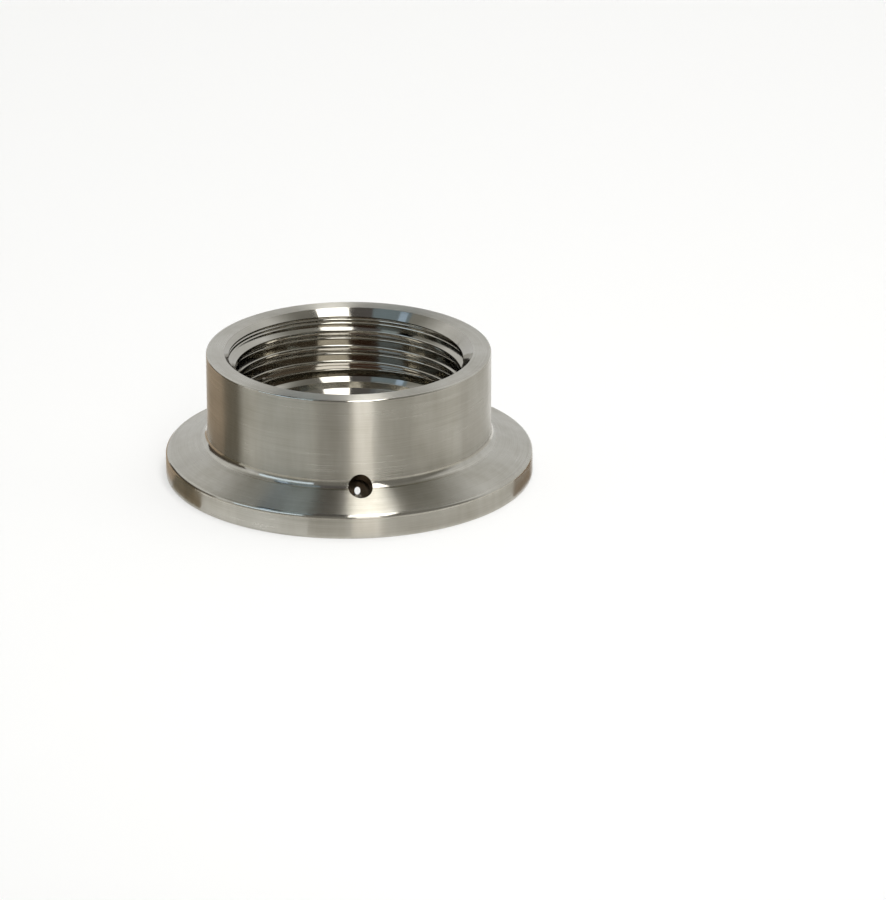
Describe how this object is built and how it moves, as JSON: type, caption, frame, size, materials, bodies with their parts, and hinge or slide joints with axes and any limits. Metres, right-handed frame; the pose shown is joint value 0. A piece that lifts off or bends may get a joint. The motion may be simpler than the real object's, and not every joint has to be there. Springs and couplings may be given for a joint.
{
  "type": "sanitary clamp process adapter",
  "caption": "Round clamp ferrule with a tall hub, a parallel pipe thread inside, a seal bore with a cone seat below it, and a small weep hole at the hub's foot.",
  "frame": {"origin": "middle of the gasket face, where the turning axis meets it", "axes": "+Z along the turning axis from the gasket face towards the threaded mouth; the weep hole points to -Y"},
  "size_m": [0.0505, 0.0504, 0.0175],
  "materials": {
    "stainless_steel": "fine turned stainless steel, bright in the bore"
  },
  "bodies": {
    "root": {"clamp_adapter": "stainless_steel"}
  },
  "joints": []
}
